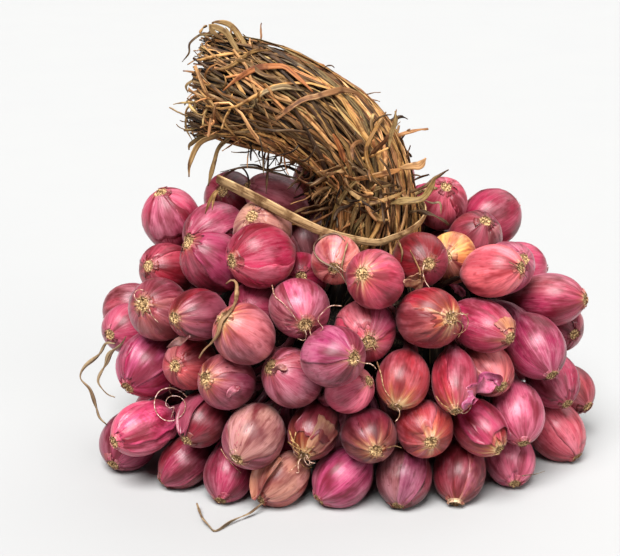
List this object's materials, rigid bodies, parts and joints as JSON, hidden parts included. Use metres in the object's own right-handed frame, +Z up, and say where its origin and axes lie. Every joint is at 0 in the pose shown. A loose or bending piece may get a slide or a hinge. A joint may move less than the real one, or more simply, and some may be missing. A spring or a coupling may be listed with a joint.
{
  "type": "shallot bunch",
  "caption": "Tied bunch of small red shallots that stands on its own bulbs, root plates outwards, with the dried leaves gathered in one bundle that arches over to the left.",
  "frame": {"origin": "on the surface that the bunch stands on, below the middle of its bounding box", "axes": "+Z up, -Y towards the front, +X to the right as seen from the front; the leaf bundle arches over towards -X"},
  "size_m": [0.2636, 0.1798, 0.2174],
  "materials": {
    "skin": "satin",
    "straw": "matte",
    "tan": "matte"
  },
  "bodies": {
    "root": {"shallot_01": "skin", "shallot_02": "skin", "shallot_03": "skin", "shallot_04": "skin", "shallot_05": "skin", "shallot_06": "skin", "shallot_07": "skin", "shallot_08": "skin", "shallot_09": "skin", "shallot_10": "skin", "shallot_11": "skin", "shallot_12": "skin", "shallot_13": "skin", "shallot_14": "skin", "shallot_15": "skin", "shallot_16": "skin", "shallot_17": "skin", "shallot_18": "skin", "shallot_19": "skin", "shallot_20": "skin", "shallot_21": "skin", "shallot_22": "skin", "shallot_23": "skin", "shallot_24": "skin", "shallot_25": "skin", "shallot_26": "skin", "shallot_27": "skin", "shallot_28": "skin", "shallot_29": "skin", "shallot_30": "skin", "shallot_31": "skin", "shallot_32": "skin", "shallot_33": "skin", "shallot_34": "skin", "shallot_35": "skin", "shallot_36": "skin", "shallot_37": "skin", "shallot_38": "skin", "shallot_39": "skin", "shallot_40": "skin", "shallot_41": "skin", "shallot_42": "skin", "cluster_low_1": "skin", "cluster_low_2": "skin", "cluster_low_3": "skin", "cluster_low_4": "skin", "cluster_middle_1": "skin", "cluster_middle_2": "skin", "cluster_middle_3": "skin", "cluster_middle_4": "skin", "cluster_top_1": "skin", "cluster_top_2": "skin", "cluster_top_3": "skin", "cluster_under_1": "skin", "cluster_under_2": "skin", "leaf_bundle": "straw", "tie": "tan", "dry_leaf_left_upper": "tan", "dry_leaf_left_lower": "tan", "dry_leaf_front": "tan"}
  },
  "joints": []
}
